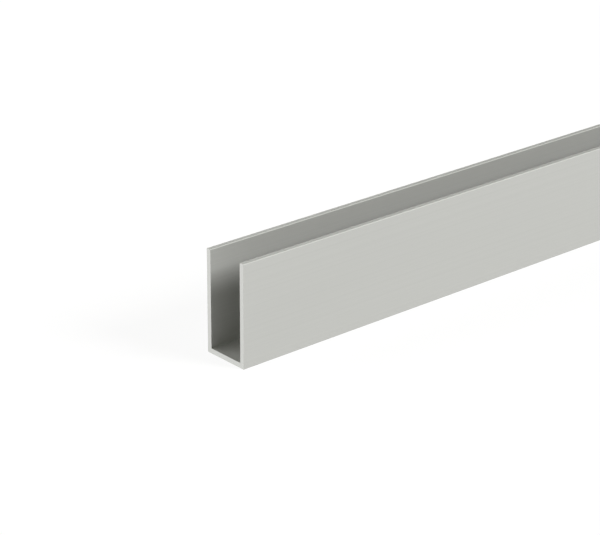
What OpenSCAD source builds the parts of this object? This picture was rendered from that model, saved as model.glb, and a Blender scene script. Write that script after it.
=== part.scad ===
// Aluminium U-channel: a straight extruded bar with a flat web along the bottom
// and two equal flanges standing up from it, sawn square at both ends.
// The bar lies along X on its web, with the channel open upwards (+Z).
// The origin is on the underside of the web, halfway along and halfway across.

/* [Bar] */

// Length between the two sawn ends
bar_length = 1000; // [50:50:6000]

/* [Section] */

// Width across the outer faces of the two flanges
outer_width = 10; // [6:0.5:60]

// Height from the underside of the web to the flange tips
outer_height = 20; // [6:0.5:80]

// Wall thickness of each flange
flange_thickness = 1; // [0.8:0.1:2.4]

// Wall thickness of the web
web_thickness = 1; // [0.8:0.1:4]

/* [Edges] */

// Radius of the fillet where each flange rises from the web, inside the channel
root_radius = 0.15; // [0.1:0.05:0.8]

// Radius of the long outer corner under each flange
heel_radius = 0.15; // [0.05:0.05:0.75]

// Radius of the two long edges along each flange tip
tip_radius = 0.15; // [0.05:0.05:0.35]

/* [Hidden] */

// Clear width between the flanges, which takes the edge of a panel
channel_width = outer_width - 2 * flange_thickness;

satin_aluminium = [0.775, 0.779, 0.761];
$fn = 64;

// What lies between a square corner at the origin and the arc that touches both of its sides.
// It is cut away to round an outer edge, and added to fillet an inner one.
module corner_spandrel(radius) {
    difference() {
        square(radius);
        translate([radius, radius]) circle(radius);
    }
}

// The web from the centre line outwards, with the flange at its end and the fillet between them
module square_edged_half() {
    square([outer_width / 2, web_thickness]);
    translate([channel_width / 2, 0]) square([flange_thickness, outer_height]);
    translate([channel_width / 2, web_thickness]) rotate(90) corner_spandrel(root_radius);
}

// Half of the section, with its heel and both edges of its flange tip rounded
module half_section() {
    difference() {
        square_edged_half();
        translate([outer_width / 2, 0]) rotate(90) corner_spandrel(heel_radius);
        translate([outer_width / 2, outer_height]) rotate(180) corner_spandrel(tip_radius);
        translate([channel_width / 2, outer_height]) rotate(270) corner_spandrel(tip_radius);
    }
}

// The whole section: the half and its mirror image, joined along the centre line
module section() {
    half_section();
    mirror([1, 0]) half_section();
}

// The bar itself: the section's width turned to Y, its height to Z, and drawn out along X
module u_channel() {
    color(satin_aluminium)
        rotate([90, 0, 90])
            linear_extrude(height = bar_length, center = true) section();
}

u_channel();
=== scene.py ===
"""Looks of a sawn aluminium U-channel bar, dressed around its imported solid.

The bar lies along X on its web, open upwards. Its section is a ribbon of wall bent into a U. One surface
stands for the CAD node: the outline of that ribbon carried along the bar, with the rim of each sawn end
broken by a fine round, and the ribbon itself closing both ends.
"""

from __future__ import annotations

import logging
import math
from dataclasses import dataclass, field
from enum import Enum, IntEnum
from typing import Sequence

import bpy
import numpy as np
from mathutils import Matrix, Vector

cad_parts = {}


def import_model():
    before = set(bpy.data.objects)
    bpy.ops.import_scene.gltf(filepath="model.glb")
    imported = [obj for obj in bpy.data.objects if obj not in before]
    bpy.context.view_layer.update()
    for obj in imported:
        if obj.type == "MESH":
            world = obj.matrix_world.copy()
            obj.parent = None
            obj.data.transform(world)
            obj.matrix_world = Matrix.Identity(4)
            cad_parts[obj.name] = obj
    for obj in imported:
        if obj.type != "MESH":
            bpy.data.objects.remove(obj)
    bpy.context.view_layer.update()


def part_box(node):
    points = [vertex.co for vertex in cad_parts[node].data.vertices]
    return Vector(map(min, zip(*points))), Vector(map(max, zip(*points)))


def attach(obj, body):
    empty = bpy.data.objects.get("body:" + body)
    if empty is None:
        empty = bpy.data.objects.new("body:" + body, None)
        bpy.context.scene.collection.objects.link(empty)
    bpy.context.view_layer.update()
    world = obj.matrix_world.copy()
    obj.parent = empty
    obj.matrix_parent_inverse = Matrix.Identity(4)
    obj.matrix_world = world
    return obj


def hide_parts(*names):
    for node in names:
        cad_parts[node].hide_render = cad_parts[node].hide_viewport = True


LOG = logging.getLogger("u_channel_scene")

MM = 0.001
NODE = "u_channel"
BODY = "root"
FRAME_WIDTH_PX = 600
MAP_NAME = "OFBake"

# Shares of the map: its margin, the height that the skin takes, and where the far end's chart starts.
MAP_EDGE = 0.02
SKIN_SHARE = 0.72
FAR_CHART_START = 0.5

# Most of a noise texture's values lie between these two.
NOISE_SPAN = (0.3, 0.7)

# A wave texture turns through this many radians over one unit of its scaled distance.
WAVE_RATE = 20.0

Colour = tuple[float, float, float]
Socket = bpy.types.NodeSocket


class WallSide(Enum):
    """The face of the wall that a stretch of the section follows."""

    OUTER = "outer"
    INNER = "inner"


class Curl(IntEnum):
    """How an arc of the outline bends, as the sign of its outward normal."""

    ROUND = 1
    FILLET = -1


class BarEnd(IntEnum):
    """The two sawn ends, as the sign of the way each faces along X."""

    NEAR = -1
    FAR = 1


class Surface(IntEnum):
    """The mesh's material slots."""

    SKIN = 0
    SAWN = 1


@dataclass(frozen=True)
class Trace:
    """A run of points across the section, as (Y, Z) pairs, with the outward normal at each."""

    points: np.ndarray
    normals: np.ndarray

    @classmethod
    def straight(
        cls, start: Sequence[float], stop: Sequence[float], normal: Sequence[float], steps: int
    ) -> Trace:
        """Even steps along a straight face.

        Args:
            start: First point.
            stop: Last point.
            normal: Outward normal of the face.
            steps: Number of steps between the two.

        Returns:
            The points start + t (stop - start) for t from 0 to 1, all with the face's normal.
        """
        t = np.linspace(0.0, 1.0, steps + 1)[:, None]
        first = np.asarray(start)
        points = first + t * (np.asarray(stop) - first)
        return cls(points, np.broadcast_to(np.asarray(normal, float), points.shape))

    @classmethod
    def arc(
        cls, centre: Sequence[float], radius: float, start: float, stop: float, curl: Curl, steps: int
    ) -> Trace:
        """Even steps round an arc.

        Args:
            centre: Centre of the arc.
            radius: Radius of the arc.
            start: First angle, in degrees from +Y towards +Z.
            stop: Last angle.
            curl: Whether the arc rounds an outer edge or fillets an inner corner.
            steps: Number of steps between the two angles.

        Returns:
            The points centre + radius (cos a, sin a), with normals along the radius, outwards or inwards.
        """
        angle = np.radians(np.linspace(start, stop, steps + 1))
        spoke = np.stack([np.cos(angle), np.sin(angle)], axis=1)
        return cls(np.asarray(centre) + radius * spoke, int(curl) * spoke)

    @classmethod
    def joined(cls, runs: Sequence[Trace]) -> Trace:
        """Joins runs that meet end to end, keeping each meeting point once.

        Args:
            runs: The runs, in order.

        Returns:
            One run through all their points.
        """
        points = [run.points[:-1] for run in runs[:-1]] + [runs[-1].points]
        normals = [run.normals[:-1] for run in runs[:-1]] + [runs[-1].normals]
        return cls(np.concatenate(points), np.concatenate(normals))

    def mirrored(self) -> Trace:
        """The same run on the other side of the centre line, taken the other way."""
        return Trace(self.points[::-1] * (-1.0, 1.0), self.normals[::-1] * (-1.0, 1.0))


@dataclass(frozen=True)
class USection:
    """The bar's section: a web and two flanges, with every long edge rounded and both roots filleted."""

    width: float
    height: float
    flange_thickness: float = 1.0 * MM
    web_thickness: float = 1.0 * MM
    root_radius: float = 0.15 * MM
    heel_radius: float = 0.15 * MM
    tip_radius: float = 0.15 * MM
    arc_steps: int = 10
    face_steps: int = 12
    web_steps: int = 4
    wall_steps: int = 6

    def half_path(self, side: WallSide) -> Trace:
        """One face of the wall from the tip of the back flange to the middle of the web.

        The tip's round, the flange's face, the heel or the root, and half of the web follow each other, and
        both faces take the same number of steps over each, so that point i of one lies across from point i
        of the other.

        Args:
            side: The face to follow.

        Returns:
            The run of points.
        """
        half = self.width / 2
        inside = half - self.flange_thickness
        tip = self.tip_radius
        top = self.height - tip
        if side is WallSide.OUTER:
            heel = self.heel_radius
            return Trace.joined(
                [
                    Trace.arc((half - tip, top), tip, 90, 0, Curl.ROUND, self.arc_steps),
                    Trace.straight((half, top), (half, heel), (1, 0), self.face_steps),
                    Trace.arc((half - heel, heel), heel, 0, -90, Curl.ROUND, self.arc_steps),
                    Trace.straight((half - heel, 0.0), (0.0, 0.0), (0, -1), self.web_steps),
                ]
            )
        root = self.root_radius
        web = self.web_thickness
        return Trace.joined(
            [
                Trace.arc((inside + tip, top), tip, 90, 180, Curl.ROUND, self.arc_steps),
                Trace.straight((inside, top), (inside, web + root), (-1, 0), self.face_steps),
                Trace.arc((inside - root, web + root), root, 0, -90, Curl.FILLET, self.arc_steps),
                Trace.straight((inside - root, web), (0.0, web), (0, 1), self.web_steps),
            ]
        )

    def path(self, side: WallSide) -> Trace:
        """One face of the wall from the tip of the back flange round to the tip of the front one.

        Args:
            side: The face to follow.

        Returns:
            The half path joined to its mirror image.
        """
        half = self.half_path(side)
        return Trace.joined([half, half.mirrored()])

    def outline(self) -> Trace:
        """The closed outline: the outer face, the front tip, the inner face and the back tip in turn.

        Returns:
            The loop's points, the first one not repeated, in the order of rim_cells.
        """
        outer = self.path(WallSide.OUTER)
        inner = self.path(WallSide.INNER)
        front_tip = Trace.straight(outer.points[-1], inner.points[-1], (0, 1), self.wall_steps)
        back_tip = Trace.straight(inner.points[0], outer.points[0], (0, 1), self.wall_steps)
        back = Trace(inner.points[::-1], inner.normals[::-1])
        loop = Trace.joined([outer, front_tip, back, back_tip])
        return Trace(loop.points[:-1], loop.normals[:-1])

    def rim_cells(self) -> tuple[np.ndarray, np.ndarray]:
        """Where the outline's points lie on the ribbon's grid.

        Returns:
            The row, counted along the U, and the column, counted through the wall, of each outline point.
        """
        last_row = 2 * (2 * self.arc_steps + self.face_steps + self.web_steps)
        rows = np.arange(last_row + 1)
        columns = np.arange(1, self.wall_steps)
        front_tip = np.full(columns.size, last_row)
        back_tip = np.zeros(columns.size, int)
        outer = np.zeros(rows.size, int)
        inner = np.full(rows.size, self.wall_steps)
        cell_rows = np.concatenate([rows, front_tip, rows[::-1], back_tip])
        cell_columns = np.concatenate([outer, columns, inner, columns[::-1]])
        return cell_rows, cell_columns


class ShaderGraph:
    """A material's node tree, with short ways to add nodes and join them."""

    def __init__(self, name: str) -> None:
        """Makes an empty node material of that name with an output node."""
        self.material = bpy.data.materials.new(name)
        self.material.use_nodes = True
        self.nodes = self.material.node_tree.nodes
        self.links = self.material.node_tree.links
        self.nodes.clear()
        self.output = self.nodes.new("ShaderNodeOutputMaterial")

    def add(self, kind: str, **settings: object) -> bpy.types.Node:
        """Adds a node.

        Args:
            kind: The node's type, without its ShaderNode prefix.
            settings: Properties of the node to set.

        Returns:
            The new node.
        """
        node = self.nodes.new("ShaderNode" + kind)
        for key, value in settings.items():
            setattr(node, key, value)
        return node

    def feed(self, node: bpy.types.Node, **values: object) -> bpy.types.Node:
        """Sets or links a node's inputs, each named in lower case with _ for a space.

        Args:
            node: The node to feed.
            values: A socket to link from, or a plain value to set, for each input.

        Returns:
            The same node.
        """
        # Taken in reverse, so that the first of several inputs with one name is the one kept.
        sockets = {socket.name.lower().replace(" ", "_"): socket for socket in reversed(node.inputs)}
        for key, value in values.items():
            if isinstance(value, Socket):
                self.links.new(value, sockets[key])
            else:
                sockets[key].default_value = value
        return node

    def stretched_noise(self, scale: Sequence[float], detail: float) -> Socket:
        """Noise on Object coordinates, drawn to a different scale along each axis.

        Args:
            scale: Features to the metre along X, Y and Z.
            detail: Octaves of finer noise.

        Returns:
            The noise's value, about 0.5 on average.
        """
        place = self.add("TexCoord")
        mapping = self.feed(self.add("Mapping"), vector=place.outputs["Object"], scale=scale)
        noise = self.add("TexNoise")
        self.feed(noise, vector=mapping.outputs["Vector"], scale=1.0, detail=detail)
        return noise.outputs["Fac"]

    def between(self, amount: Socket, span: Sequence[float], ends: Sequence[float]) -> Socket:
        """Carries a value from one range to another.

        Args:
            amount: The value.
            span: The two ends of its own range.
            ends: The two ends of the new range.

        Returns:
            The carried value, held within the new range.
        """
        node = self.add("MapRange", clamp=True)
        self.feed(node, value=amount, from_min=span[0], from_max=span[1], to_min=ends[0], to_max=ends[1])
        return node.outputs["Result"]

    def tinted(self, amount: Socket, dark: Colour, light: Colour) -> Socket:
        """Blends two colours by a value.

        Args:
            amount: The value, 0 for the dark colour and 1 for the light one.
            dark: The first colour.
            light: The second colour.

        Returns:
            The blended colour.
        """
        mix = self.add("Mix", data_type="RGBA")
        first, second = (socket for socket in mix.inputs if socket.type == "RGBA")
        first.default_value = (*dark, 1.0)
        second.default_value = (*light, 1.0)
        self.links.new(amount, mix.inputs[0])
        return next(socket for socket in mix.outputs if socket.type == "RGBA")

    def sum_of(self, first: Socket, second: Socket) -> Socket:
        """Adds two values and holds the sum within 0 and 1.

        Args:
            first: The first value.
            second: The second value.

        Returns:
            The sum.
        """
        node = self.add("Math", operation="ADD", use_clamp=True)
        self.links.new(first, node.inputs[0])
        self.links.new(second, node.inputs[1])
        return node.outputs[0]

    def finish(self, shader: bpy.types.Node) -> bpy.types.Material:
        """Joins the shader to the output and hands the material over."""
        self.links.new(shader.outputs[0], self.output.inputs["Surface"])
        return self.material


def shade(colour: Colour, by: float) -> Colour:
    """The colour with each channel multiplied by a factor."""
    return tuple(channel * by for channel in colour)


@dataclass(frozen=True)
class SatinSkin:
    """Satin anodised finish of the extruded faces, with faint die lines drawn along the bar."""

    colour: Colour = (0.5205, 0.5235, 0.506)
    metallic: float = 1.0
    roughness: float = 0.7
    roughness_swing: float = 0.025
    tone_swing: float = 0.006
    die_lines_per_metre: tuple[float, float, float] = (1.5, 4200.0, 4200.0)
    die_line_detail: float = 2.0
    die_line_depth: float = 0.0006 * MM
    cloud_per_metre: tuple[float, float, float] = (14.0, 60.0, 60.0)
    cloud_detail: float = 3.0

    def material(self) -> bpy.types.Material:
        """Builds the finish.

        Noise drawn out along X gives the die lines, which swing the roughness and raise a very shallow bump.
        A slow cloud over it swings the tone, as an anodising bath does.

        Returns:
            The material.
        """
        graph = ShaderGraph("satin_anodised_skin")
        lines = graph.stretched_noise(self.die_lines_per_metre, self.die_line_detail)
        cloud = graph.stretched_noise(self.cloud_per_metre, self.cloud_detail)
        dark = shade(self.colour, 1 - self.tone_swing)
        light = shade(self.colour, 1 + self.tone_swing)
        tone = graph.tinted(graph.between(cloud, NOISE_SPAN, (0.0, 1.0)), dark, light)
        ends = (self.roughness - self.roughness_swing, self.roughness + self.roughness_swing)
        bump = graph.feed(graph.add("Bump"), height=lines, strength=1.0, distance=self.die_line_depth)
        shader = graph.feed(
            graph.add("BsdfPrincipled"),
            base_color=tone,
            metallic=self.metallic,
            roughness=graph.between(lines, NOISE_SPAN, ends),
            normal=bump.outputs["Normal"],
        )
        return graph.finish(shader)


@dataclass(frozen=True)
class SawnMetal:
    """Bare metal of the sawn ends, with the blade's fine curved marks across it."""

    colour: Colour = (0.567, 0.572, 0.556)
    metallic: float = 1.0
    roughness: float = 0.7
    roughness_swing: float = 0.05
    tone_swing: float = 0.02
    mark_pitch: float = 0.16 * MM
    mark_depth: float = 0.004 * MM
    mark_waver: float = 1.5
    waver_detail: float = 2.0
    waver_scale: float = 0.3
    blade_centre: tuple[float, float, float] = (0.0, -0.05, 0.12)

    def material(self) -> bpy.types.Material:
        """Builds the finish.

        Rings round the blade's centre, one pitch apart and broken up by noise, swing the tone and roughness
        and raise a shallow bump.

        Returns:
            The material.
        """
        graph = ShaderGraph("sawn_aluminium")
        place = graph.add("TexCoord")
        offset = tuple(-value for value in self.blade_centre)
        mapping = graph.feed(graph.add("Mapping"), vector=place.outputs["Object"], location=offset)
        rings = graph.add("TexWave", wave_type="RINGS", rings_direction="X")
        graph.feed(
            rings,
            vector=mapping.outputs["Vector"],
            scale=2 * math.pi / (WAVE_RATE * self.mark_pitch),
            distortion=self.mark_waver,
            detail=self.waver_detail,
            detail_scale=self.waver_scale,
        )
        marks = rings.outputs["Fac"]
        dark = shade(self.colour, 1 - self.tone_swing)
        light = shade(self.colour, 1 + self.tone_swing)
        ends = (self.roughness + self.roughness_swing, self.roughness - self.roughness_swing)
        bump = graph.feed(graph.add("Bump"), height=marks, strength=1.0, distance=self.mark_depth)
        shader = graph.feed(
            graph.add("BsdfPrincipled"),
            base_color=graph.tinted(marks, dark, light),
            metallic=self.metallic,
            roughness=graph.between(marks, (0.0, 1.0), ends),
            normal=bump.outputs["Normal"],
        )
        return graph.finish(shader)


@dataclass(frozen=True)
class UChannelBar:
    """The bar: its section carried along X, with both ends sawn square and their rims broken."""

    section: USection
    near: float
    far: float
    rim_radius: float = 0.04 * MM
    rim_steps: int = 3
    ring_pitch: float = 20 * MM
    skin: SatinSkin = field(default_factory=SatinSkin)
    sawn: SawnMetal = field(default_factory=SawnMetal)

    @classmethod
    def from_frame(cls) -> UChannelBar:
        """Takes the bar's length, width and height from its CAD node.

        Returns:
            The bar.
        """
        low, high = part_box(NODE)
        return cls(section=USection(width=high.y - low.y, height=high.z - low.z), near=low.x, far=high.x)

    def stations(self) -> tuple[np.ndarray, np.ndarray, np.ndarray]:
        """Rings along the bar, from the near end to the far one.

        Over each rim the angle a runs through a quarter turn: the ring stands rim (1 - cos a) in from the
        end, is drawn in by rim (1 - sin a), and its normal leans by a from the end's way to the section's.

        Returns:
            Each ring's X, how far the outline is drawn in there, and the normal's (X, section) parts.
        """
        angle = np.linspace(0.0, math.pi / 2, self.rim_steps + 1)
        away = self.rim_radius * (1 - np.cos(angle))
        drawn_in = self.rim_radius * (1 - np.sin(angle))
        count = round((self.far - self.near) / self.ring_pitch)
        middle = np.linspace(self.near, self.far, count + 1)[1:-1]
        x = np.concatenate([self.near + away, middle, self.far - away[::-1]])
        inset = np.concatenate([drawn_in, np.zeros(middle.size), drawn_in[::-1]])
        lean = np.concatenate([-np.cos(angle), np.zeros(middle.size), np.cos(angle[::-1])])
        return x, inset, np.stack([lean, np.sqrt(1 - lean**2)], axis=1)

    def build(self) -> bpy.types.Object:
        """Builds the bar's mesh and dresses it.

        The skin is the closed outline on a grid of rings. Each end is the ribbon on its own grid, a straight
        blend from the outer face to the inner one, and its border is the skin's first or last ring.

        Returns:
            The finished object, at the origin.
        """
        outline = self.section.outline()
        x, inset, lean = self.stations()
        flat = outline.points[None] - inset[:, None, None] * outline.normals[None]
        rings = np.concatenate([np.broadcast_to(x[:, None, None], (*flat.shape[:2], 1)), flat], axis=2)
        ring_count, loop_count = rings.shape[:2]
        ids = np.arange(ring_count * loop_count).reshape(ring_count, loop_count)

        around = np.roll(np.arange(loop_count), -1)
        skin_corners = [ids[:-1], ids[1:], ids[1:, around], ids[:-1, around]]
        skin_faces = np.stack(skin_corners, axis=-1).reshape(-1, 4)
        section_part = lean[:, 1, None, None] * outline.normals[None]
        end_part = np.broadcast_to(lean[:, 0, None, None], (ring_count, loop_count, 1))
        ring_normals = np.concatenate([end_part, section_part], axis=2).reshape(-1, 3)

        points = [rings.reshape(-1, 3)]
        faces = [skin_faces]
        normals = [ring_normals[skin_faces]]
        for end in BarEnd:
            ring = 0 if end is BarEnd.NEAR else ring_count - 1
            start = sum(len(block) for block in points)
            inner_points, end_faces = self.sawn_end(rings[ring], ids[ring], start, end)
            points.append(inner_points)
            faces.append(end_faces)
            normals.append(np.broadcast_to(np.array([float(end), 0.0, 0.0]), (*end_faces.shape, 3)))

        all_points, all_faces = np.concatenate(points), np.concatenate(faces)
        slots = np.full(len(all_faces), int(Surface.SAWN))
        slots[: len(skin_faces)] = int(Surface.SKIN)
        end_charts = self.sawn_charts(all_points, all_faces, len(skin_faces))
        charts = np.concatenate([self.skin_chart(x, outline), end_charts])
        bar = self.mesh_object(all_points, all_faces, np.concatenate(normals), charts, slots)
        bar.data.materials.append(self.skin.material())
        bar.data.materials.append(self.sawn.material())
        return bar

    def skin_chart(self, x: np.ndarray, outline: Trace) -> np.ndarray:
        """Unrolls the skin: U runs along the bar and V round the outline, over the lower part of the map.

        Args:
            x: Each ring's X.
            outline: The closed outline.

        Returns:
            The U and V of each corner of each skin face.
        """
        closed = np.concatenate([outline.points, outline.points[:1]])
        steps = np.linalg.norm(np.diff(closed, axis=0), axis=1)
        round_it = np.concatenate([[0.0], np.cumsum(steps)])
        u = MAP_EDGE + (1 - 2 * MAP_EDGE) * (x - self.near) / (self.far - self.near)
        v = MAP_EDGE + SKIN_SHARE * round_it / round_it[-1]
        grid = np.stack(np.broadcast_arrays(u[:, None], v[None]), axis=-1)
        corners = [grid[:-1, :-1], grid[1:, :-1], grid[1:, 1:], grid[:-1, 1:]]
        return np.stack(corners, axis=2).reshape(-1, 4, 2)

    def sawn_charts(self, points: np.ndarray, faces: np.ndarray, first: int) -> np.ndarray:
        """Lays both ends flat on the upper part of the map, each on its side, with its height along U.

        Args:
            points: Vertex places.
            faces: All faces.
            first: The first face of the ends.

        Returns:
            The U and V of each corner of each end face.
        """
        corners = points[faces[first:]]
        scale = (1 - 3 * MAP_EDGE - SKIN_SHARE) / self.section.width
        start = np.where(corners[..., 0] < (self.near + self.far) / 2, MAP_EDGE, FAR_CHART_START)
        u = start + scale * corners[..., 2]
        v = 2 * MAP_EDGE + SKIN_SHARE + scale * (corners[..., 1] + self.section.width / 2)
        return np.stack([u, v], axis=-1)

    def sawn_end(
        self, ring: np.ndarray, ring_ids: np.ndarray, start: int, end: BarEnd
    ) -> tuple[np.ndarray, np.ndarray]:
        """The ribbon that closes one end.

        Args:
            ring: The skin's ring at that end.
            ring_ids: That ring's vertex numbers.
            start: The first free vertex number.
            end: The end to close.

        Returns:
            The ribbon's own points inside its border, and its faces.
        """
        rows, columns = self.section.rim_cells()
        across = self.section.wall_steps
        shape = (rows.max() + 1, across + 1)
        border = np.zeros((*shape, 3))
        border[rows, columns] = ring
        t = np.linspace(0.0, 1.0, across + 1)[None, :, None]
        ribbon = (1 - t) * border[:, :1] + t * border[:, -1:]
        inside = ribbon[1:-1, 1:-1]
        ids = np.zeros(shape, int)
        ids[rows, columns] = ring_ids
        ids[1:-1, 1:-1] = start + np.arange(inside.shape[0] * inside.shape[1]).reshape(inside.shape[:2])
        corners = [ids[:-1, :-1], ids[1:, :-1], ids[1:, 1:], ids[:-1, 1:]]
        faces = np.stack(corners, axis=-1).reshape(-1, 4)
        return inside.reshape(-1, 3), faces if end is BarEnd.NEAR else faces[:, ::-1]

    def mesh_object(
        self,
        points: np.ndarray,
        faces: np.ndarray,
        normals: np.ndarray,
        charts: np.ndarray,
        slots: np.ndarray,
    ) -> bpy.types.Object:
        """Puts the arrays into a mesh with its own shading normals and map.

        Args:
            points: Vertex places.
            faces: Four vertex numbers for each face.
            normals: The normal at each corner of each face.
            charts: The U and V of each corner of each face.
            slots: The material slot of each face.

        Returns:
            The object, linked to the scene.
        """
        mesh = bpy.data.meshes.new("u_channel_bar")
        mesh.from_pydata(points, [], faces)
        mesh.polygons.foreach_set("material_index", slots.astype(np.int32))
        mesh.polygons.foreach_set("use_smooth", np.ones(len(faces), bool))
        layer = mesh.uv_layers.new(name=MAP_NAME, do_init=False)
        layer.uv.foreach_set("vector", charts.astype(np.float32).ravel())
        mesh.normals_split_custom_set(normals.reshape(-1, 3))
        bar = bpy.data.objects.new("u_channel_bar", mesh)
        bpy.context.scene.collection.objects.link(bar)
        return bar


@dataclass(frozen=True)
class SoftLamp:
    """A broad soft lamp far from the bar, so that it lights the whole length alike."""

    name: str
    azimuth: float
    elevation: float
    brightness: float
    spread: float = 24.0

    def build(self) -> bpy.types.Object:
        """Hangs the lamp.

        It shines from (sin az cos el, -cos az cos el, sin el). Its strength is pi times its brightness, so
        that a matte white card turned to a lamp of brightness 1 looks white.

        Returns:
            The lamp.
        """
        azimuth, elevation = math.radians(self.azimuth), math.radians(self.elevation)
        across, up = math.cos(elevation), math.sin(elevation)
        away = Vector((math.sin(azimuth) * across, -math.cos(azimuth) * across, up))
        data = bpy.data.lights.new(self.name, "SUN")
        data.angle = math.radians(self.spread)
        data.energy = math.pi * self.brightness
        lamp = bpy.data.objects.new(self.name, data)
        lamp.rotation_euler = away.to_track_quat("Z", "Y").to_euler()
        bpy.context.scene.collection.objects.link(lamp)
        return lamp


@dataclass(frozen=True)
class Studio:
    """A white paper floor under a pale sky that dims with height, and soft lamps round the bar."""

    floor_side: float = 60.0
    floor_lines: int = 3
    floor_grey: float = 0.12
    floor_glow: float = 0.884
    sky_tint: Colour = (0.99, 1.0, 0.88)
    sky_steps: tuple[tuple[float, float], ...] = ((0.0, 0.5), (0.15, 0.4), (0.35, 0.25), (0.65, 0.2))
    lamps: tuple[SoftLamp, ...] = (
        SoftLamp("front_lamp", azimuth=30.0, elevation=33.0, brightness=0.98),
        SoftLamp("left_lamp", azimuth=-90.0, elevation=13.0, brightness=0.34),
        SoftLamp("low_back_left_lamp", azimuth=-120.0, elevation=13.0, brightness=0.29),
        SoftLamp("high_back_left_lamp", azimuth=-150.0, elevation=45.0, brightness=0.19),
        SoftLamp("back_right_lamp", azimuth=150.0, elevation=13.0, brightness=0.24),
    )

    def build(self, floor_height: float) -> list[bpy.types.Object]:
        """Builds the sky, the floor and the lamps.

        Args:
            floor_height: Height of the floor.

        Returns:
            The floor and the lamps.
        """
        self.sky()
        return [self.floor(floor_height)] + [lamp.build() for lamp in self.lamps]

    def floor(self, height: float) -> bpy.types.Object:
        """Lays the floor, a flat square grid.

        Args:
            height: Height of the floor.

        Returns:
            The floor.
        """
        side = np.linspace(-self.floor_side / 2, self.floor_side / 2, self.floor_lines)
        x, y = np.meshgrid(side, side)
        points = np.stack([x.ravel(), y.ravel(), np.full(x.size, height)], axis=1)
        ids = np.arange(x.size).reshape(x.shape)
        corners = [ids[:-1, :-1], ids[:-1, 1:], ids[1:, 1:], ids[1:, :-1]]
        faces = np.stack(corners, axis=-1).reshape(-1, 4)
        mesh = bpy.data.meshes.new("floor")
        mesh.from_pydata(points, [], faces)
        mesh.materials.append(self.floor_paper())
        floor = bpy.data.objects.new("floor", mesh)
        bpy.context.scene.collection.objects.link(floor)
        return floor

    def floor_paper(self) -> bpy.types.Material:
        """Matte paper that glows up to white for the camera and for what mirrors it, under its own shadows.

        The glow isn't sampled as a lamp, because a lamp's light doesn't reach the metal as a glossy ray and
        part of the glow would be lost there.

        Returns:
            The material.
        """
        graph = ShaderGraph("white_paper")
        graph.material.cycles.emission_sampling = "NONE"
        grey = self.floor_grey
        paper = graph.feed(graph.add("BsdfDiffuse"), color=(grey, grey, grey, 1.0))
        path = graph.add("LightPath")
        seen = graph.sum_of(path.outputs["Is Camera Ray"], path.outputs["Is Glossy Ray"])
        shown = graph.sum_of(seen, path.outputs["Is Transmission Ray"])
        strength = graph.between(shown, (0.0, 1.0), (0.0, self.floor_glow))
        glow = graph.feed(graph.add("Emission"), strength=strength)
        both = graph.add("AddShader")
        graph.links.new(paper.outputs[0], both.inputs[0])
        graph.links.new(glow.outputs[0], both.inputs[1])
        return graph.finish(both)

    def sky(self) -> None:
        """Lights the world with a warm grey that goes through the sky's steps from the horizon up."""
        world = bpy.data.worlds.new("studio_sky")
        bpy.context.scene.world = world
        world.use_nodes = True
        nodes, links = world.node_tree.nodes, world.node_tree.links
        nodes.clear()
        place = nodes.new("ShaderNodeTexCoord")
        parts = nodes.new("ShaderNodeSeparateXYZ")
        steps = nodes.new("ShaderNodeValToRGB")
        light = nodes.new("ShaderNodeBackground")
        output = nodes.new("ShaderNodeOutputWorld")
        stops = steps.color_ramp.elements
        while len(stops) < len(self.sky_steps):
            stops.new(1.0)
        for stop, (height, grey) in zip(stops, self.sky_steps):
            stop.position = height
            stop.color = (*(grey * share for share in self.sky_tint), 1.0)
        links.new(place.outputs["Generated"], parts.inputs[0])
        links.new(parts.outputs["Z"], steps.inputs["Fac"])
        links.new(steps.outputs["Color"], light.inputs["Color"])
        links.new(light.outputs[0], output.inputs["Surface"])


@dataclass(frozen=True)
class PhotoCamera:
    """The camera, placed from the near front lower corner of the bar."""

    offset: tuple[float, float, float] = (-0.22135, -0.26716, 0.16484)
    yaw: float = 41.25
    pitch: float = 22.737
    roll: float = 0.281
    focal_px: float = 2191.3
    sensor: float = 36.0
    clip_start: float = 0.01
    clip_end: float = 100.0

    def build(self, corner: Vector) -> bpy.types.Object:
        """Sets the camera up.

        It looks along (sin yaw cos pitch, cos yaw cos pitch, -sin pitch), turned about that line by the roll.

        Args:
            corner: The corner that its place is measured from.

        Returns:
            The camera.
        """
        yaw, pitch, roll = (math.radians(angle) for angle in (self.yaw, self.pitch, self.roll))
        ahead = math.cos(pitch)
        forward = Vector((math.sin(yaw) * ahead, math.cos(yaw) * ahead, -math.sin(pitch)))
        level = Vector((math.cos(yaw), -math.sin(yaw), 0.0))
        upright = level.cross(forward)
        right = math.cos(roll) * level + math.sin(roll) * upright
        up = math.cos(roll) * upright - math.sin(roll) * level
        data = bpy.data.cameras.new("photo_camera")
        data.sensor_width = self.sensor
        data.sensor_fit = "HORIZONTAL"
        data.lens = self.sensor * self.focal_px / FRAME_WIDTH_PX
        data.clip_start = self.clip_start
        data.clip_end = self.clip_end
        camera = bpy.data.objects.new("photo_camera", data)
        camera.rotation_euler = Matrix((right, up, -forward)).transposed().to_euler()
        camera.location = corner + Vector(self.offset)
        bpy.context.scene.collection.objects.link(camera)
        bpy.context.scene.camera = camera
        return camera


def main() -> None:
    """Builds the bar, the studio and the camera."""
    logging.basicConfig(level=logging.INFO, format="%(message)s")
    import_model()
    bpy.context.scene.view_settings.view_transform = "Standard"

    bar = UChannelBar.from_frame().build()
    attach(bar, BODY)
    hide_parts(NODE)
    LOG.info("%s: %d faces", bar.name, len(bar.data.polygons))

    low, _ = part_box(NODE)
    for piece in Studio().build(low.z):
        LOG.info("%s: placed", piece.name)
    camera = PhotoCamera().build(low)
    LOG.info("%s: lens %.1f mm", camera.name, camera.data.lens)


if __name__ == "__main__":
    main()
